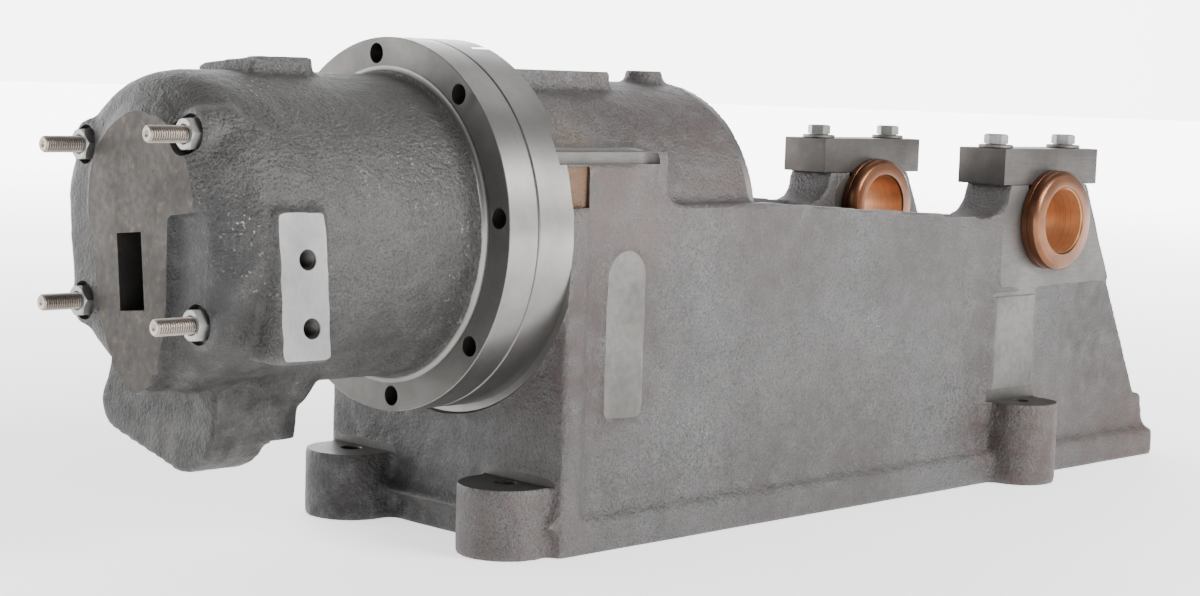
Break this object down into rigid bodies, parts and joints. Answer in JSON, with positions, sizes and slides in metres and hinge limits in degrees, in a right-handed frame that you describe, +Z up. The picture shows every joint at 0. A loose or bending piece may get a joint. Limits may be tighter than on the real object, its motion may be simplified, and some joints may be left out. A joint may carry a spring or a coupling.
{
  "type": "crank-type machine frame",
  "caption": "Cast-iron crank frame with bronze-bushed bearings, a round crosshead barrel and a domed cylinder housing adjusted by end screws.",
  "frame": {"origin": "middle of the bounding box at floor level", "axes": "+X along the barrel axis from the domed housing to the crank end, +Y across to the far bearing, +Z up"},
  "size_m": [1.2086, 0.374, 0.406],
  "materials": {
    "frame_iron": "sand-cast, pads machined",
    "housing_iron": "sand-cast, flange and pads machined",
    "crosshead_iron": "turned",
    "gasket_paper": "oiled gasket paper",
    "liner_steel": "honed",
    "plate_steel": "turned",
    "cap_steel": "milled",
    "ground_steel": "ground",
    "washer_steel": "plain",
    "bolt_steel": "plain",
    "stud_steel": "rolled thread",
    "nut_steel": "zinc plated, dull",
    "bronze": "turned bronze"
  },
  "bodies": {
    "frame": {"base_frame": "frame_iron", "cylinder_housing": "housing_iron", "flange_gasket": "gasket_paper", "cylinder_liner": "liner_steel", "flange_dowel_upper": "ground_steel", "flange_dowel_lower": "ground_steel", "bearing_cap_near": "cap_steel", "bearing_cap_far": "cap_steel", "bearing_bush_near": "bronze", "bearing_bush_far": "bronze", "bush_dowel_near": "ground_steel", "bush_dowel_far": "ground_steel", "cap_washer_near_front": "washer_steel", "cap_washer_near_rear": "washer_steel", "cap_washer_far_front": "washer_steel", "cap_washer_far_rear": "washer_steel", "cap_bolt_near_front": "bolt_steel", "cap_bolt_near_rear": "bolt_steel", "cap_bolt_far_front": "bolt_steel", "cap_bolt_far_rear": "bolt_steel"},
    "thrust_plate": {"thrust_plate": "plate_steel"},
    "crosshead": {"crosshead": "crosshead_iron", "crosshead_band_front": "bronze", "crosshead_band_rear": "bronze"},
    "wrist_pin": {"wrist_pin": "ground_steel"},
    "adjusting_screw_upper_near": {"adjusting_screw_upper_near": "stud_steel"},
    "jam_nut_upper_near": {"jam_nut_upper_near": "nut_steel"},
    "adjusting_screw_upper_far": {"adjusting_screw_upper_far": "stud_steel"},
    "jam_nut_upper_far": {"jam_nut_upper_far": "nut_steel"},
    "adjusting_screw_lower_near": {"adjusting_screw_lower_near": "stud_steel"},
    "jam_nut_lower_near": {"jam_nut_lower_near": "nut_steel"},
    "adjusting_screw_lower_far": {"adjusting_screw_lower_far": "stud_steel"},
    "jam_nut_lower_far": {"jam_nut_lower_far": "nut_steel"}
  },
  "joints": [
    {"name": "thrust_plate_slide", "type": "slide", "parent": "frame", "child": "thrust_plate", "axis": [1, 0, 0], "range_m": [-0.002, 0.006]},
    {"name": "screw_turn_upper_near", "type": "hinge", "parent": "thrust_plate", "child": "adjusting_screw_upper_near", "pos_m": [-0.55775, -0.0646, 0.33016], "axis": [1, 0, 0], "range_deg": [-370, 1110]},
    {"name": "nut_back_off_upper_near", "type": "slide", "parent": "frame", "child": "jam_nut_upper_near", "axis": [-1, 0, 0], "range_m": [0, 0.018]},
    {"name": "screw_turn_upper_far", "type": "hinge", "parent": "thrust_plate", "child": "adjusting_screw_upper_far", "pos_m": [-0.55775, 0.07175, 0.31683], "axis": [1, 0, 0], "range_deg": [-370, 1110]},
    {"name": "nut_back_off_upper_far", "type": "slide", "parent": "frame", "child": "jam_nut_upper_far", "axis": [-1, 0, 0], "range_m": [0, 0.018]},
    {"name": "screw_turn_lower_near", "type": "hinge", "parent": "thrust_plate", "child": "adjusting_screw_lower_near", "pos_m": [-0.55775, -0.07672, 0.19569], "axis": [1, 0, 0], "range_deg": [-370, 1110]},
    {"name": "nut_back_off_lower_near", "type": "slide", "parent": "frame", "child": "jam_nut_lower_near", "axis": [-1, 0, 0], "range_m": [0, 0.018]},
    {"name": "screw_turn_lower_far", "type": "hinge", "parent": "thrust_plate", "child": "adjusting_screw_lower_far", "pos_m": [-0.55775, 0.07245, 0.19911], "axis": [1, 0, 0], "range_deg": [-370, 1110]},
    {"name": "nut_back_off_lower_far", "type": "slide", "parent": "frame", "child": "jam_nut_lower_far", "axis": [-1, 0, 0], "range_m": [0, 0.018]},
    {"name": "crosshead_slide", "type": "slide", "parent": "frame", "child": "crosshead", "axis": [1, 0, 0], "range_m": [-0.05, 0.05]},
    {"name": "wrist_pin_turn", "type": "hinge", "parent": "crosshead", "child": "wrist_pin", "pos_m": [-0.14775, 0, 0.256], "axis": [0, 1, 0], "continuous": true}
  ],
  "couplings": [
    {"joint": "screw_turn_upper_near", "follows": "thrust_plate_slide", "rad_per_m": 3222.1},
    {"joint": "screw_turn_upper_far", "follows": "thrust_plate_slide", "rad_per_m": 3222.1},
    {"joint": "screw_turn_lower_near", "follows": "thrust_plate_slide", "rad_per_m": 3222.1},
    {"joint": "screw_turn_lower_far", "follows": "thrust_plate_slide", "rad_per_m": 3222.1}
  ]
}
